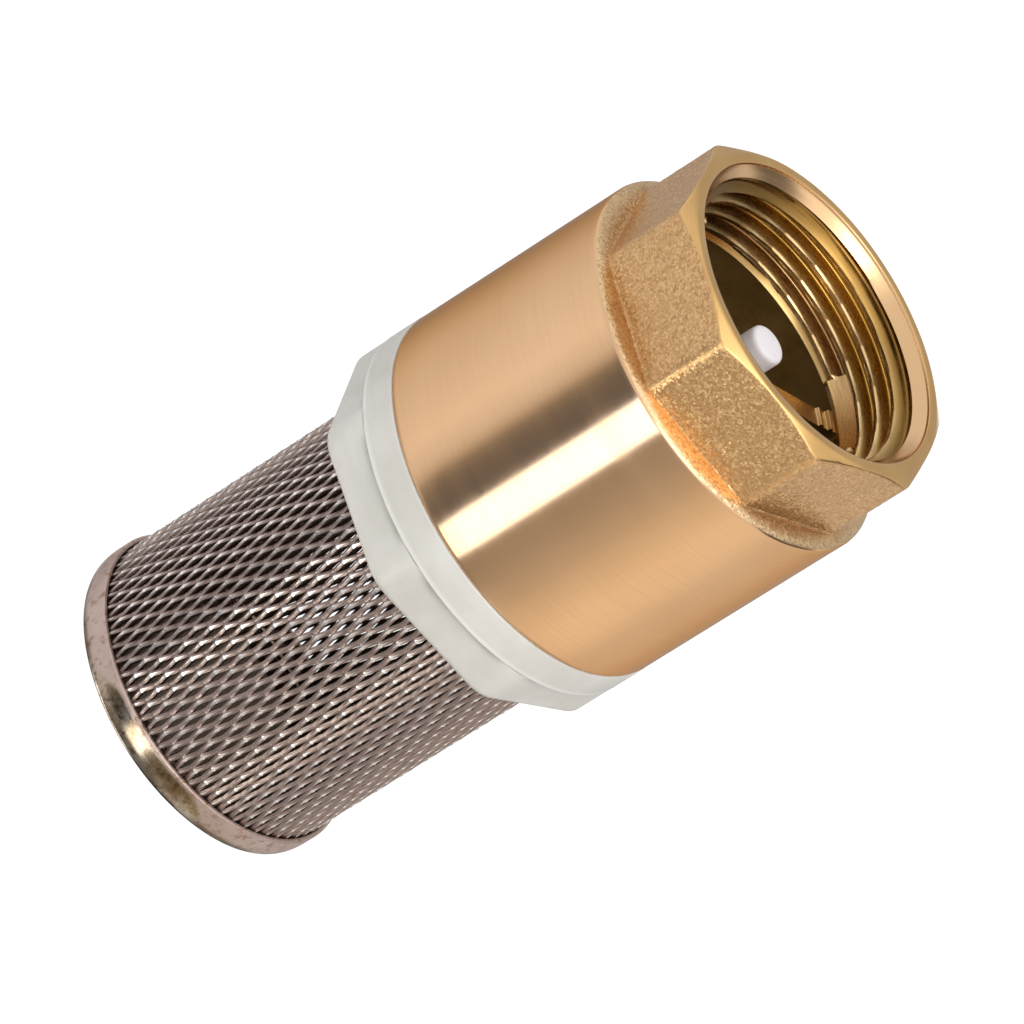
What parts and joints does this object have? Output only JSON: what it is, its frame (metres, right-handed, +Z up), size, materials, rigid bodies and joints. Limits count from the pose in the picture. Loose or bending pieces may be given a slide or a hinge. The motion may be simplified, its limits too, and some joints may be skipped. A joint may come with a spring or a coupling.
{
  "type": "foot valve",
  "caption": "Brass foot valve with an octagonal head, female pipe thread, spring-loaded poppet and a nylon-held expanded-steel strainer basket.",
  "frame": {"origin": "centre of the strainer cap's underside, the valve's lowest point", "axes": "+Z up along the valve's axis, from the strainer to the outlet thread; +X square to one pair of wrench flats"},
  "size_m": [0.0426, 0.0426, 0.0856],
  "materials": {
    "brass_body": "satin turned barrel, sand-cast wrench head",
    "brass_seat": "bright turned",
    "gasket_rubber": "matte",
    "poppet_nylon": "smooth moulded",
    "seal_rubber": "matte",
    "screw_steel": "bright stainless",
    "spring_steel": "bright drawn wire",
    "holder_nylon": "translucent moulded",
    "clamp_steel": "rolled",
    "mesh_steel": "expanded stainless sheet",
    "cap_steel": "pressed, polished at the rim"
  },
  "bodies": {
    "root": {"valve_body": "brass_body", "seat_ring": "brass_seat", "seat_gasket": "gasket_rubber", "spring": "spring_steel", "strainer_holder": "holder_nylon", "mesh_clamp_ring": "clamp_steel", "strainer_mesh": "mesh_steel", "strainer_cap": "cap_steel"},
    "poppet": {"poppet": "poppet_nylon", "poppet_seal": "seal_rubber", "seal_retainer": "poppet_nylon", "retainer_screw": "screw_steel"}
  },
  "joints": [
    {"name": "poppet_lift", "type": "slide", "parent": "root", "child": "poppet", "axis": [0, 0, 1], "range_m": [0, 0.005], "stiffness_N_per_m": 200, "springref_m": -0.006, "deforming": ["spring"]}
  ]
}
